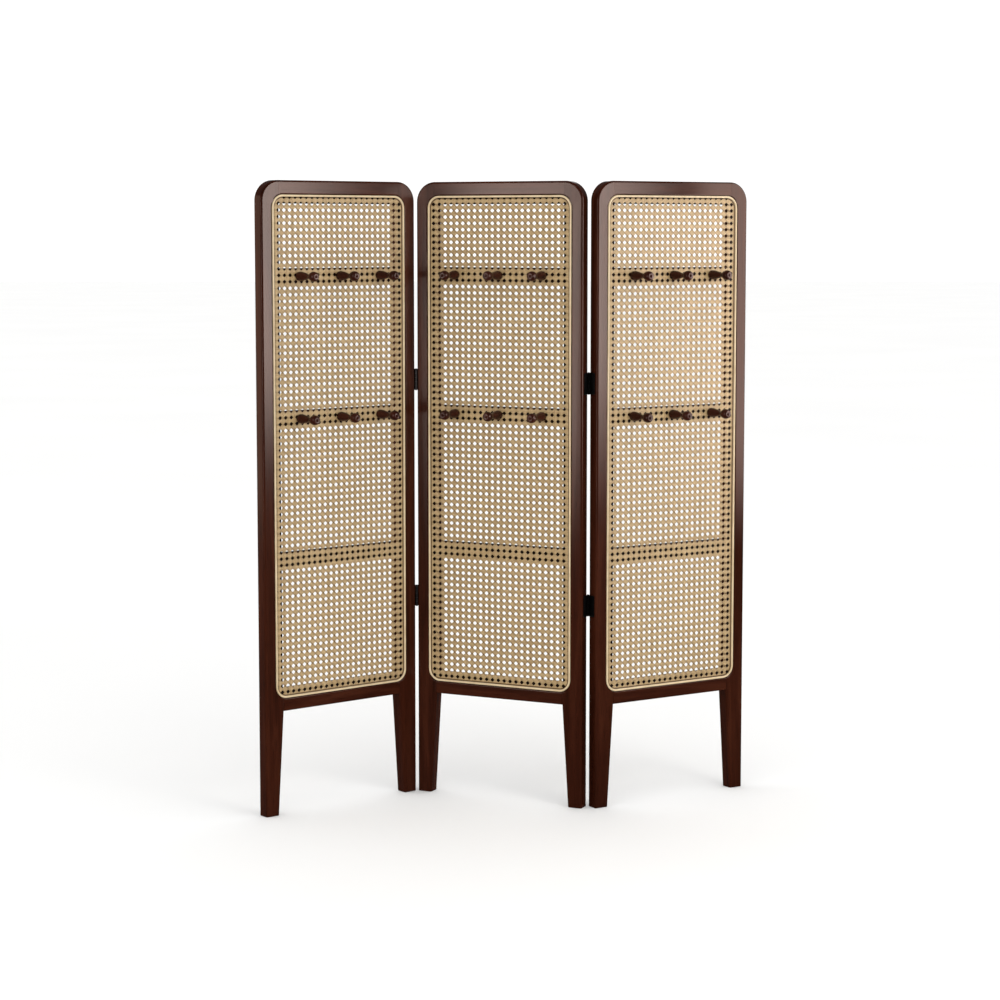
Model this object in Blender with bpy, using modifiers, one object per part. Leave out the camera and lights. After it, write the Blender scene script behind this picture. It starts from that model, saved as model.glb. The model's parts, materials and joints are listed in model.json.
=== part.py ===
"""A folding room screen: three caned panels in a zigzag, joined by four butt hinges.

Each panel is drawn in its own frame: X runs along the panel from its middle, Y runs from the
front face to the back face, and Z is up from the floor. Empties place the panels: the middle one
carries the hinge pins, and the outer ones turn about them. Metres throughout.
"""
import math

import bmesh
import bpy
from mathutils import Matrix, Vector

# Overall sizes of one panel.
PANEL_WIDTH = 0.440
PANEL_HEIGHT = 1.500
PANEL_THICKNESS = 0.032

# The frame's members. A face is the width of wood that shows outside the cane.
STILE_FACE = 0.030
TOP_RAIL_FACE = 0.033
BOTTOM_RAIL_FACE = 0.031
SEAT_WIDTH = 0.021
LEG_HEIGHT = 0.249
FOOT_WIDTH = 0.036
CORNER_RADIUS = 0.048
ROUNDOVER = 0.0045
ROUNDOVER_STEPS = 2
CORNER_STEPS = 6

# The cane in its rabbet, and the spline round it.
CANE_THICKNESS = 0.0016
SPLINE_RADIUS = 0.003
RABBET_DEPTH = 0.005
RABBET_CORNER = 0.030
RABBET_STEPS = 4

# Cross rails behind the cane, measured down from the top.
CROSS_RAIL_HEIGHT = 0.038
CROSS_RAIL_THICKNESS = 0.020
FIRST_CROSS_RAIL_DROP = 0.2235
CROSS_RAIL_PITCH = 0.3345
CROSS_RAILS = ("upper_peg_rail", "lower_peg_rail", "plain_cross_rail")

# Turned pegs on the upper two cross rails.
PEG_SPACING = 0.115
PEGS_PER_RAIL = 3
PEG_LENGTH = 0.076
PEG_FLANGE_RADIUS = 0.0112
PEG_NECK_RADIUS = 0.0046
PEG_KNOB_RADIUS = 0.0118
PEG_TENON_RADIUS = 0.006
PEG_TENON_LENGTH = 0.016
PEG_SIDES = 10

# Butt hinges on the stiles' edges.
HINGE_LENGTH = 0.0508
HINGE_LEAF_WIDTH = 0.024
HINGE_LEAF_THICKNESS = 0.0010
HINGE_KNUCKLE_RADIUS = 0.0030
HINGE_PIN_RADIUS = 0.0015
HINGE_PIN_HEAD = 0.0010
HINGE_PIN_PROUD = 0.0015
HINGE_SCREW_RADIUS = 0.0018
HINGE_KNUCKLES = 5
HINGE_GAP = 0.003
UPPER_HINGE_DROP = 0.478
LOWER_HINGE_HEIGHT = 0.4895
ROUND_SIDES = 8

# Fits.
CLEARANCE = 0.0003
PIN_CLEARANCE = 0.0003

# How the screen stands: each turn is about +Z, and flat would be 0.
MIDDLE_TURN = math.radians(-25.5)
LEFT_TURN = math.radians(63.74)
RIGHT_TURN = math.radians(56.9)

# Worked out from the sizes above.
STILE_WIDTH = STILE_FACE + SEAT_WIDTH
TOP_RAIL_HEIGHT = TOP_RAIL_FACE + SEAT_WIDTH
BOTTOM_RAIL_HEIGHT = BOTTOM_RAIL_FACE + SEAT_WIDTH
CANE_BACK = RABBET_DEPTH - CLEARANCE
CANE_FRONT = CANE_BACK - CANE_THICKNESS
PEG_BASE = CANE_FRONT - CLEARANCE
CROSS_RAIL_FRONT = RABBET_DEPTH
HINGE_HEIGHTS = {"upper": PANEL_HEIGHT - UPPER_HINGE_DROP, "lower": LOWER_HINGE_HEIGHT}
PEG_TENON_HOLE = PEG_TENON_RADIUS + CLEARANCE

COLLECTION = "folding_screen"
WOOD = ("walnut_stained_wood", (0.070, 0.026, 0.018, 1.0), 0.35, 0.0)
PEG_WOOD = ("peg_wood", (0.085, 0.028, 0.018, 1.0), 0.30, 0.0)
CANE = ("cane_webbing", (0.62, 0.50, 0.33, 1.0), 0.55, 0.0)
REED = ("spline_reed", (0.78, 0.66, 0.48, 1.0), 0.50, 0.0)
STEEL = ("black_steel", (0.03, 0.03, 0.03, 1.0), 0.40, 1.0)


def clear_scene():
    for obj in list(bpy.data.objects):
        bpy.data.objects.remove(obj, do_unlink=True)


def new_collection(name):
    collection = bpy.data.collections.new(name)
    bpy.context.scene.collection.children.link(collection)
    return collection


def make_material(name, colour, roughness, metallic):
    material = bpy.data.materials.new(name)
    material.use_nodes = True
    shader = material.node_tree.nodes["Principled BSDF"]
    shader.inputs["Base Color"].default_value = colour
    shader.inputs["Roughness"].default_value = roughness
    shader.inputs["Metallic"].default_value = metallic
    return material


def link_mesh(bm, name, collection):
    mesh = bpy.data.meshes.new(name)
    bm.to_mesh(mesh)
    bm.free()
    obj = bpy.data.objects.new(name, mesh)
    collection.objects.link(obj)
    return obj


def baked(obj):
    """The object's mesh with its modifiers applied; the object itself is removed."""
    bpy.context.view_layer.update()
    graph = bpy.context.evaluated_depsgraph_get()
    mesh = bpy.data.meshes.new_from_object(obj.evaluated_get(graph))
    bpy.data.objects.remove(obj, do_unlink=True)
    return mesh


def cut(obj, cutters, cutter_collection):
    """Take the cutters out of the object, one Boolean each, and return the finished mesh."""
    for cutter in cutters:
        cutter_collection.objects.link(cutter)
        cutter.hide_render = True
        cutter.display_type = "WIRE"
        modifier = obj.modifiers.new("cut", "BOOLEAN")
        modifier.operation = "DIFFERENCE"
        modifier.object = cutter
    mesh = baked(obj)
    for cutter in cutters:
        bpy.data.objects.remove(cutter, do_unlink=True)
    return mesh


def arc(centre, radius, start, end, steps):
    """Points along an arc, angles in degrees, both ends included."""
    angles = [math.radians(start + (end - start) * i / steps) for i in range(steps + 1)]
    return [(centre[0] + radius * math.cos(a), centre[1] + radius * math.sin(a)) for a in angles]


def rounded_rectangle(half_width, low, high, radius, steps):
    x, r = half_width - radius, radius
    points = arc((x, low + r), r, -90, 0, steps)
    points += arc((x, high - r), r, 0, 90, steps)
    points += arc((-x, high - r), r, 90, 180, steps)
    points += arc((-x, low + r), r, 180, 270, steps)
    return points


def fill_outline(bm, points):
    """Join the points in order into a closed outline and fill it with one face."""
    verts = [bm.verts.new(point) for point in points]
    edges = [bm.edges.new(pair) for pair in zip(verts, verts[1:] + verts[:1])]
    bmesh.ops.edgeloop_fill(bm, edges=edges)


def extrude_all(bm, vector):
    """Carry the only face along the vector and close the solid."""
    swept = bmesh.ops.extrude_face_region(bm, geom=list(bm.faces))
    moved = [v for v in swept["geom"] if isinstance(v, bmesh.types.BMVert)]
    bmesh.ops.translate(bm, verts=moved, vec=vector)
    bmesh.ops.recalc_face_normals(bm, faces=list(bm.faces))


def slab(outline, front, back, rounded=None):
    """A bmesh: an outline in X and Z, carried from one depth to another.

    rounded picks, from an edge's middle, the outline edges that get the roundover.
    """
    bm = bmesh.new()
    fill_outline(bm, [(x, front, z) for x, z in outline])
    extrude_all(bm, (0, back - front, 0))
    if rounded:
        edges = []
        for edge in bm.edges:
            a, b = (v.co for v in edge.verts)
            middle = (a + b) / 2
            if abs(a.y - b.y) < 1e-6 and rounded(middle.x, middle.z):
                edges.append(edge)
        bmesh.ops.bevel(bm, geom=edges, offset=ROUNDOVER, segments=ROUNDOVER_STEPS,
                        profile=0.5, affect="EDGES", material=-1)
    return bm


def loose_object(bm, name):
    mesh = bpy.data.meshes.new(name)
    bm.to_mesh(mesh)
    bm.free()
    return bpy.data.objects.new(name, mesh)


def round_cutter(name, radius, length, location, along):
    """A closed cylinder that starts at its location; its flats, not its corners, are at the
    radius, so that a round piece of that radius fits the hole it cuts."""
    corner = radius / math.cos(math.pi / ROUND_SIDES)
    bm = bmesh.new()
    bmesh.ops.create_cone(bm, cap_ends=True, segments=ROUND_SIDES, radius1=corner,
                          radius2=corner, depth=length)
    bmesh.ops.translate(bm, verts=bm.verts, vec=(0, 0, length / 2))
    turn = Vector((0, 0, 1)).rotation_difference(Vector(along)).to_matrix().to_4x4()
    bmesh.ops.transform(bm, matrix=Matrix.Translation(location) @ turn, verts=bm.verts)
    return loose_object(bm, name)


def rabbet_half_width():
    return PANEL_WIDTH / 2 - STILE_FACE


def rabbet_low():
    return LEG_HEIGHT + BOTTOM_RAIL_FACE


def rabbet_high():
    return PANEL_HEIGHT - TOP_RAIL_FACE


def rabbet_cutter():
    outline = rounded_rectangle(rabbet_half_width(), rabbet_low(), rabbet_high(),
                                RABBET_CORNER, RABBET_STEPS)
    return loose_object(slab(outline, -RABBET_DEPTH, RABBET_DEPTH), "rabbet")


def stile_mesh(work, cutters):
    """The left stile and its leg: a straight outer edge, a round top corner, a tapered leg."""
    outer = -PANEL_WIDTH / 2
    inner = outer + STILE_WIDTH
    seam = outer + CORNER_RADIUS
    outline = [(outer, 0.0), (outer + FOOT_WIDTH, 0.0), (inner, LEG_HEIGHT),
               (inner, PANEL_HEIGHT - TOP_RAIL_HEIGHT), (seam, PANEL_HEIGHT - TOP_RAIL_HEIGHT)]
    outline += arc((seam, PANEL_HEIGHT - CORNER_RADIUS), CORNER_RADIUS, 90, 180, CORNER_STEPS)

    def rounded(x, z):
        on_leg = 0.0 < z < LEG_HEIGHT and x > outer + FOOT_WIDTH / 2
        on_outside = x < outer + 1e-6 and z > 0.0
        on_corner = z > PANEL_HEIGHT - CORNER_RADIUS and x < seam - 1e-6
        return on_leg or on_outside or on_corner

    obj = link_mesh(slab(outline, 0.0, PANEL_THICKNESS, rounded), "stile", work)
    return cut(obj, [rabbet_cutter()], cutters)


def mirrored(mesh, name):
    bm = bmesh.new()
    bm.from_mesh(mesh)
    bmesh.ops.scale(bm, vec=(-1, 1, 1), verts=bm.verts)
    bmesh.ops.reverse_faces(bm, faces=bm.faces)
    copy = bpy.data.meshes.new(name)
    bm.to_mesh(copy)
    bm.free()
    return copy


def rail_mesh(half_length, low, high, edge_height, work, cutters):
    """A top or bottom rail; only its outer edge, at edge_height, is rounded over."""
    length = half_length - CLEARANCE
    outline = [(-length, low), (length, low), (length, high), (-length, high)]
    body = slab(outline, 0.0, PANEL_THICKNESS, lambda x, z: abs(z - edge_height) < 1e-6)
    return cut(link_mesh(body, "rail", work), [rabbet_cutter()], cutters)


def cross_rail_mesh(peg_places, work, cutters):
    """A rail behind the cane, drawn round its own axis, with a blind hole for each peg."""
    half = PANEL_WIDTH / 2 - STILE_WIDTH - CLEARANCE
    edge = CROSS_RAIL_HEIGHT / 2
    outline = [(-half, -edge), (half, -edge), (half, edge), (-half, edge)]
    body = slab(outline, CROSS_RAIL_FRONT, CROSS_RAIL_FRONT + CROSS_RAIL_THICKNESS)
    depth = PEG_TENON_LENGTH + CLEARANCE - (CROSS_RAIL_FRONT - PEG_BASE)
    holes = [round_cutter("hole", PEG_TENON_HOLE, 2 * depth, (x, CROSS_RAIL_FRONT - depth, 0),
                          (0, 1, 0)) for x in peg_places]
    return cut(link_mesh(body, "cross_rail", work), holes, cutters)


def cane_inset():
    """How far inside the rabbet's wall the cane stops: it butts against the spline."""
    return 2 * SPLINE_RADIUS + 2 * CLEARANCE


def cane_mesh(peg_places, heights, work, cutters):
    inset = cane_inset()
    outline = rounded_rectangle(rabbet_half_width() - inset, rabbet_low() + inset,
                                rabbet_high() - inset, RABBET_CORNER - inset, RABBET_STEPS)
    body = slab(outline, CANE_FRONT, CANE_BACK)
    holes = [round_cutter("hole", PEG_TENON_HOLE, 4 * CANE_THICKNESS,
                          (x, CANE_FRONT - CANE_THICKNESS, z), (0, 1, 0))
             for x in peg_places for z in heights]
    return cut(link_mesh(body, "cane", work), holes, cutters)


def spline_mesh(work):
    """A round reed bent round the rabbet: a closed curve with a bevel."""
    middle = SPLINE_RADIUS + CLEARANCE
    outline = rounded_rectangle(rabbet_half_width() - middle, rabbet_low() + middle,
                                rabbet_high() - middle, RABBET_CORNER - middle, RABBET_STEPS)
    curve = bpy.data.curves.new("spline", "CURVE")
    curve.dimensions = "3D"
    curve.bevel_depth = SPLINE_RADIUS
    curve.bevel_resolution = 2
    path = curve.splines.new("POLY")
    path.points.add(len(outline) - 1)
    depth = RABBET_DEPTH - CLEARANCE - SPLINE_RADIUS
    for point, (x, z) in zip(path.points, outline):
        point.co = (x, depth, z, 1.0)
    path.use_cyclic_u = True
    obj = bpy.data.objects.new("spline", curve)
    work.objects.link(obj)
    return baked(obj)


def peg_profile():
    """(radius, height) from the knob's crown down to the tenon's end."""
    dome = arc((0.0, PEG_LENGTH - PEG_KNOB_RADIUS), PEG_KNOB_RADIUS, 90, -35, 5)
    top = [(r, h) for r, h in dome if r > 1e-6]
    neck = [(PEG_NECK_RADIUS, 0.50 * PEG_LENGTH),
            (PEG_NECK_RADIUS * 1.25, 0.34 * PEG_LENGTH),
            (PEG_FLANGE_RADIUS * 0.85, 0.17 * PEG_LENGTH),
            (PEG_FLANGE_RADIUS, 0.06 * PEG_LENGTH),
            (PEG_FLANGE_RADIUS * 0.94, 0.0),
            (PEG_TENON_RADIUS, 0.0),
            (PEG_TENON_RADIUS, -PEG_TENON_LENGTH)]
    return [(0.0, PEG_LENGTH)] + top + neck + [(0.0, -PEG_TENON_LENGTH)]


def turned_mesh(profile, sides, work):
    """A turned piece round Z, from a profile that runs from its top down."""
    bm = bmesh.new()
    verts = [bm.verts.new((radius, 0, height)) for radius, height in profile]
    for first, second in zip(verts, verts[1:]):
        bm.edges.new((first, second))
    obj = link_mesh(bm, "turned", work)
    screw = obj.modifiers.new("turn", "SCREW")
    screw.steps = sides
    screw.render_steps = sides
    screw.use_merge_vertices = True
    screw.merge_threshold = 0.00005
    return baked(obj)


def knuckle_span(index):
    """The lowest and highest Z of one knuckle, about the hinge's middle."""
    pitch = HINGE_LENGTH / HINGE_KNUCKLES
    low = -HINGE_LENGTH / 2 + index * pitch
    return low + CLEARANCE / 2, low + pitch - CLEARANCE / 2


def leaf_mesh(side, knuckles, work, cutters):
    """A hinge leaf round its pin's axis, lying on the side given by the sign of side.

    The section is a plate rolled round the pin, drawn in X and Y; the other leaf's knuckles are
    notched out of it, and three screw holes go through the plate.
    """
    near = HINGE_GAP / 2 - HINGE_LEAF_THICKNESS - CLEARANCE * 2 / 3
    far = near + HINGE_LEAF_THICKNESS
    end = HINGE_LEAF_WIDTH + HINGE_PIN_PROUD
    start = math.degrees(math.acos(near / HINGE_KNUCKLE_RADIUS))
    stop = math.degrees(math.acos(far / HINGE_KNUCKLE_RADIUS))
    section = arc((0, 0), HINGE_KNUCKLE_RADIUS, start, stop + 360, ROUND_SIDES)
    section += [(far, end), (near, end)]
    bm = bmesh.new()
    fill_outline(bm, [(side * x, y, -HINGE_LENGTH / 2) for x, y in section])
    extrude_all(bm, (0, 0, HINGE_LENGTH))
    obj = link_mesh(bm, "leaf", work)

    tools = [round_cutter("bore", HINGE_PIN_RADIUS + PIN_CLEARANCE, 2 * HINGE_LENGTH,
                          (0, 0, -HINGE_LENGTH), (0, 0, 1))]
    reach = HINGE_KNUCKLE_RADIUS + CLEARANCE
    for index in range(HINGE_KNUCKLES):
        bottom, top = knuckle_span(index)
        if index in knuckles:
            continue
        first = bottom - (CLEARANCE if index else HINGE_LENGTH)
        last = top + (CLEARANCE if index < HINGE_KNUCKLES - 1 else HINGE_LENGTH)
        box = bmesh.new()
        bmesh.ops.create_cube(box, size=1)
        bmesh.ops.scale(box, vec=(4 * reach, 2 * reach, last - first), verts=box.verts)
        bmesh.ops.translate(box, verts=box.verts, vec=(0, 0, (first + last) / 2))
        tools.append(loose_object(box, "notch"))
    row = HINGE_PIN_PROUD + HINGE_LEAF_WIDTH / 2
    step = HINGE_LENGTH / 3
    for index, height in enumerate((-step, 0.0, step)):
        stagger = HINGE_LEAF_WIDTH / 8 * (1 if index == 1 else -1)
        place = (side * (near - HINGE_LEAF_THICKNESS), row + stagger, height)
        tools.append(round_cutter("screw_hole", HINGE_SCREW_RADIUS, 3 * HINGE_LEAF_THICKNESS,
                                  place, (side, 0, 0)))
    return cut(obj, tools, cutters)


def pin_mesh(work):
    """A hinge pin with a low domed head at each end."""
    half = HINGE_LENGTH / 2 + CLEARANCE
    head = HINGE_KNUCKLE_RADIUS * 0.9
    upper = [(0.0, half + HINGE_PIN_HEAD), (head * 0.6, half + HINGE_PIN_HEAD * 0.9),
             (head, half + HINGE_PIN_HEAD * 0.3), (head, half), (HINGE_PIN_RADIUS, half)]
    lower = [(radius, -height) for radius, height in reversed(upper)]
    return turned_mesh(upper + lower, ROUND_SIDES, work)


def empty(name, parent, location, turn, collection):
    obj = bpy.data.objects.new(name, None)
    collection.objects.link(obj)
    obj.parent = parent
    obj.location = location
    obj.rotation_euler = (0, 0, turn)
    return obj


def piece(name, mesh, material, parent, location, rotation, collection):
    """One named part: a shared mesh with its own material, placed in its panel's frame."""
    obj = bpy.data.objects.new(name, mesh)
    if not mesh.materials:
        mesh.materials.append(material)
        mesh.shade_smooth()
        mesh.set_sharp_from_angle(angle=math.radians(35))
    collection.objects.link(obj)
    obj.parent = parent
    obj.location = location
    obj.rotation_euler = rotation
    return obj


def peg_places():
    middle = (PEGS_PER_RAIL - 1) / 2
    return [(index - middle) * PEG_SPACING for index in range(PEGS_PER_RAIL)]


def cross_rail_height(index):
    return PANEL_HEIGHT - FIRST_CROSS_RAIL_DROP - index * CROSS_RAIL_PITCH


def panel_meshes(work, cutters):
    """Every shape that a panel needs, made once and shared by the three panels."""
    places = peg_places()
    stile = stile_mesh(work, cutters)
    window = PANEL_WIDTH / 2 - STILE_WIDTH
    return {
        "left_stile": stile,
        "right_stile": mirrored(stile, "right_stile"),
        "top_rail": rail_mesh(PANEL_WIDTH / 2 - CORNER_RADIUS, PANEL_HEIGHT - TOP_RAIL_HEIGHT
                              + CLEARANCE, PANEL_HEIGHT, PANEL_HEIGHT, work, cutters),
        "bottom_rail": rail_mesh(window, LEG_HEIGHT, LEG_HEIGHT + BOTTOM_RAIL_HEIGHT,
                                 LEG_HEIGHT, work, cutters),
        "peg_rail": cross_rail_mesh(places, work, cutters),
        "plain_rail": cross_rail_mesh([], work, cutters),
        "cane_sheet": cane_mesh(places, [cross_rail_height(0), cross_rail_height(1)],
                                work, cutters),
        "cane_spline": spline_mesh(work),
        "peg": turned_mesh(peg_profile(), PEG_SIDES, work),
    }


def build_panel(name, shapes, materials, frame, shift, collection):
    """One panel's parts, parented to its frame; shift moves them when that is on a hinge."""
    here = (shift[0], shift[1], 0)
    for part in ("left_stile", "right_stile", "top_rail", "bottom_rail"):
        piece(f"{name}_{part}", shapes[part], materials["wood"], frame, here, (0, 0, 0),
              collection)
    piece(f"{name}_cane_sheet", shapes["cane_sheet"], materials["cane"], frame, here,
          (0, 0, 0), collection)
    piece(f"{name}_cane_spline", shapes["cane_spline"], materials["reed"], frame, here,
          (0, 0, 0), collection)
    for index, rail in enumerate(CROSS_RAILS):
        height = cross_rail_height(index)
        pegged = "peg" in rail
        shape = shapes["peg_rail" if pegged else "plain_rail"]
        piece(f"{name}_{rail}", shape, materials["wood"], frame, (shift[0], shift[1], height),
              (0, 0, 0), collection)
        if not pegged:
            continue
        row = rail.split("_")[0]
        for number, x in enumerate(peg_places(), start=1):
            place = (shift[0] + x, shift[1] + PEG_BASE, height)
            piece(f"{name}_{row}_peg_{number}", shapes["peg"], materials["peg"], frame, place,
                  (math.pi / 2, 0, 0), collection)


def build_hinges(name, side, back, side_frame, middle_frame, pin_place, steel, shapes,
                 collection):
    """The two hinges of one joint.

    side is the sign of X from the pin to the outer panel. At the back, leaves and pin are turned
    half round, which keeps the leaf on its own stile because its sign is changed with it.
    """
    turn = math.pi if back else 0.0
    handed = -side if back else side
    for level, height in HINGE_HEIGHTS.items():
        piece(f"{name}_{level}_hinge_outer_leaf", shapes["outer_leaf", handed], steel,
              side_frame, (0, 0, height), (0, 0, turn), collection)
        place = (pin_place[0], pin_place[1], height)
        piece(f"{name}_{level}_hinge_middle_leaf", shapes["middle_leaf", -handed], steel,
              middle_frame, place, (0, 0, turn), collection)
        piece(f"{name}_{level}_hinge_pin", shapes["pin"], steel, middle_frame, place,
              (0, 0, turn), collection)


def stand_on_origin(base, collection):
    """Move the base so that the origin is under the middle of the whole screen."""
    bpy.context.view_layer.update()
    meshes = [obj for obj in collection.objects if obj.type == "MESH"]
    points = [obj.matrix_world @ vert.co for obj in meshes for vert in obj.data.vertices]
    for axis in (0, 1):
        low = min(point[axis] for point in points)
        high = max(point[axis] for point in points)
        base.location[axis] = -(low + high) / 2
    bpy.context.view_layer.update()


def main():
    clear_scene()
    parts = new_collection(COLLECTION)
    work = new_collection("workshop")
    cutters = new_collection("cutters")
    materials = {"wood": make_material(*WOOD), "peg": make_material(*PEG_WOOD),
                 "cane": make_material(*CANE), "reed": make_material(*REED),
                 "steel": make_material(*STEEL)}
    shapes = panel_meshes(work, cutters)
    outer_knuckles = range(0, HINGE_KNUCKLES, 2)
    middle_knuckles = range(1, HINGE_KNUCKLES, 2)
    hinge_shapes = {"pin": pin_mesh(work)}
    for side in (-1, 1):
        hinge_shapes["outer_leaf", side] = leaf_mesh(side, outer_knuckles, work, cutters)
        hinge_shapes["middle_leaf", side] = leaf_mesh(side, middle_knuckles, work, cutters)

    base = empty("screen", None, (0, 0, 0), 0.0, parts)
    middle = empty("middle_panel", base, (0, 0, 0), MIDDLE_TURN, parts)
    pin_x = PANEL_WIDTH / 2 + HINGE_GAP / 2
    left_pin = (-pin_x, -HINGE_PIN_PROUD)
    right_pin = (pin_x, PANEL_THICKNESS + HINGE_PIN_PROUD)
    left = empty("left_fold", middle, (*left_pin, 0), LEFT_TURN, parts)
    right = empty("right_fold", middle, (*right_pin, 0), RIGHT_TURN, parts)

    build_panel("middle", shapes, materials, middle, (0, 0), parts)
    build_panel("left", shapes, materials, left, (-pin_x, HINGE_PIN_PROUD), parts)
    build_panel("right", shapes, materials, right,
                (pin_x, -PANEL_THICKNESS - HINGE_PIN_PROUD), parts)
    build_hinges("left", -1, False, left, middle, left_pin, materials["steel"], hinge_shapes,
                 parts)
    build_hinges("right", 1, True, right, middle, right_pin, materials["steel"], hinge_shapes,
                 parts)
    stand_on_origin(base, parts)
    for spare in (work, cutters):
        bpy.data.collections.remove(spare)


main()
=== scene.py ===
"""The looks of a folding room screen: three lacquered frames with woven cane, pegs and hinges."""

import json
import math
import random

import bmesh
import bpy
from mathutils import Matrix, Vector


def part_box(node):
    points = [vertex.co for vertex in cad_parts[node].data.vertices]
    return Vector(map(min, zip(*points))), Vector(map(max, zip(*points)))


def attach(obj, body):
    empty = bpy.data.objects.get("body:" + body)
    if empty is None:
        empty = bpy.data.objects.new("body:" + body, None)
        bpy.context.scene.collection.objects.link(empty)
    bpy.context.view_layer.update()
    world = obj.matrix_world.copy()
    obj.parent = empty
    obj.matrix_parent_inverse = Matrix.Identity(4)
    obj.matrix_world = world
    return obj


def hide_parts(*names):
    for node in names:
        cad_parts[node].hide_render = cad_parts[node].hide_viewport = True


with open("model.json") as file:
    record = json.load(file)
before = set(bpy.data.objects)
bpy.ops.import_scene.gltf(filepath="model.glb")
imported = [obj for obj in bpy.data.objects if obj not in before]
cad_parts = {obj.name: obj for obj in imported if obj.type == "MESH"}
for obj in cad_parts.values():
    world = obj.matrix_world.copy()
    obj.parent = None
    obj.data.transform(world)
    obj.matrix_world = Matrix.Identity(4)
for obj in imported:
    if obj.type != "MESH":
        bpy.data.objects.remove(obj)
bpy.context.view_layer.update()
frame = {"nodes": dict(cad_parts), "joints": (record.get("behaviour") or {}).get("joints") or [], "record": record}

PANELS = ("left", "middle", "right")
LEVELS = ("upper", "lower")
UP = Vector((0, 0, 1))
NEARLY = 1e-6
SHARP_ANGLE = 40

# Wood, in metres as everywhere.
CORNER_RADIUS = 0.048
CORNER_STEPS = 18
ROUNDOVER = 0.0049
ROUNDOVER_STEPS = 5
RABBET_CORNER = 0.030
RABBET_STEPS = 12
RABBET_ROUNDOVER = 0.0032
RABBET_ROUNDOVER_STEPS = 4
FOOT_WIDTH = 0.036
WINDOW_EASE = 0.0015
FOOT_EASE = 0.001
EASE_STEPS = 2
CROSS_RAIL_EASE = 0.002
CROSS_RAIL_STEPS = 3
CLEARANCE = 0.0003
LEG_MARGIN = 0.0001
LACQUER_TINT = (1.0, 0.79, 0.70, 1.0)

# Cane: the holes across and up a sheet, the strands between them and how they rise and dip.
HOLES_ACROSS = 23
HOLES_UP = 78
HOLE_PITCH_ACROSS = 0.01574
HOLE_PITCH_UP = 0.015156
LOWEST_HOLE = 0.2942
SHEET_SHIFT = {"left": 0.0028, "middle": -0.0022, "right": 0.0012}
STRAND_WIDTH = 0.0032
STRAND_THICKNESS = 0.00062
STRAND_CROWN = 0.66
PAIR_OFFSET = 0.098
PLAIN_LIFT = 0.00034
DIAGONAL_LIFT = 0.00064

# Painted shade in the weave, standing in for shadow in its crevices: its colour, how much of it
# each crevice takes, and how much of that is left where wood backs the sheet. Ranges are shares of
# a hole's pitch, the groove's in metres.
CREVICE_SHADE = (0.105, 0.052, 0.014, 1.0)
SPOT_SHADE = 0.80
SPOT_RANGE = (0.07, 0.22)
LINE_SHADE = 0.42
LINE_RANGE = (0.06, 0.20)
GROOVE_SHADE = 0.90
GROOVE_RANGE = (0.0046, 0.0060)
BACKED_SHADE = 0.25
CANE_GLOSS = 0.28

# Bead.
BEAD_RADIUS = 0.0025
BEAD_SIDES = 14
BEAD_CORNER_STEPS = 12
BEAD_TONES = (0.45, 0.6)

# Pegs: (distance from the cane, radius) along the turned part.
PEG_PROFILE = ((0.0000, 0.0100), (0.0008, 0.0108), (0.0040, 0.0113), (0.0090, 0.0113),
               (0.0150, 0.0107), (0.0210, 0.0097), (0.0270, 0.0084), (0.0330, 0.0070),
               (0.0375, 0.0061), (0.0410, 0.0057), (0.0440, 0.0059), (0.0475, 0.0070),
               (0.0510, 0.0088), (0.0545, 0.0105), (0.0585, 0.0116), (0.0625, 0.0118),
               (0.0662, 0.0113), (0.0692, 0.0102), (0.0714, 0.0086), (0.0727, 0.0070),
               (0.0729, 0.0054), (0.0723, 0.0042), (0.0730, 0.0032), (0.0746, 0.0021),
               (0.0757, 0.0009))
PEG_STEPS = 28

# Hinges.
LEAF_CORNER = 0.003
LEAF_CORNER_STEPS = 5
LEAF_GAP = 0.0002
KNUCKLE_CHAMFER = 0.0003
KNUCKLE_STEPS = 24
KNUCKLES = 5
PIN_RADIUS = 0.0015
PIN_HEAD = 0.001
# The dome on a pin's head: (distance from its end, share of the rim's radius).
PIN_DOME = ((0.0007, 1.0), (0.0003, 0.75), (0.0, 0.35))
SCREW_HEAD = 0.0027
SCREW_SHANK = 0.6
SCREW_DEPTH = 0.0009
SCREW_SINK = 0.0004
SCREW_STEPS = 20
# A screw head's rim, dish and recess: (distance inwards, rise).
SCREW_RINGS = ((0.0004, 0.00008), (0.0009, -0.00004), (0.0002, -0.0005))
# The screws in a leaf: (up from the middle, to the near or the far side).
SCREW_PLACES = ((-1, -1), (0, 1), (1, -1))

# Studio: how bright the white room is to the eye and to glossy surfaces, and the soft cards
# that only glossy surfaces see: place, size, brightness, colour and share of each fading edge.
FLOOR_SIZE = 60
SKY = 1.08
GLOSSY_SKY = 0.10
WHITE = (1.0, 1.0, 1.0)
CARDS = {
    "near_right_card": ((2.75, -1.70, 1.53), (1.68, 2.4), 21, WHITE, (0.25, 0.28)),
    "far_right_card": ((1.00, 0.04, 1.26), (0.48, 1.48), 12, (1.0, 0.89, 0.85), (0.21, 0.24)),
    "left_card": ((-2.9, -2.49, 1.35), (0.84, 2.6), 17, WHITE, (0.155, 0.26)),
    "left_back_card": ((-3.3, 1.05, 1.30), (1.6, 2.3), 1.15, (1.0, 0.66, 0.50), (0.3, 0.15)),
}

# Camera.
CAMERA_PLACE = (-0.0393, -5.6321, 1.3803)
CAMERA_PITCH = 5.541
CAMERA_YAW = -0.233
CAMERA_LENS = 84.68
CAMERA_SHIFT = -0.04


# ---- Where things are ----------------------------------------------------------------------

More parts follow.
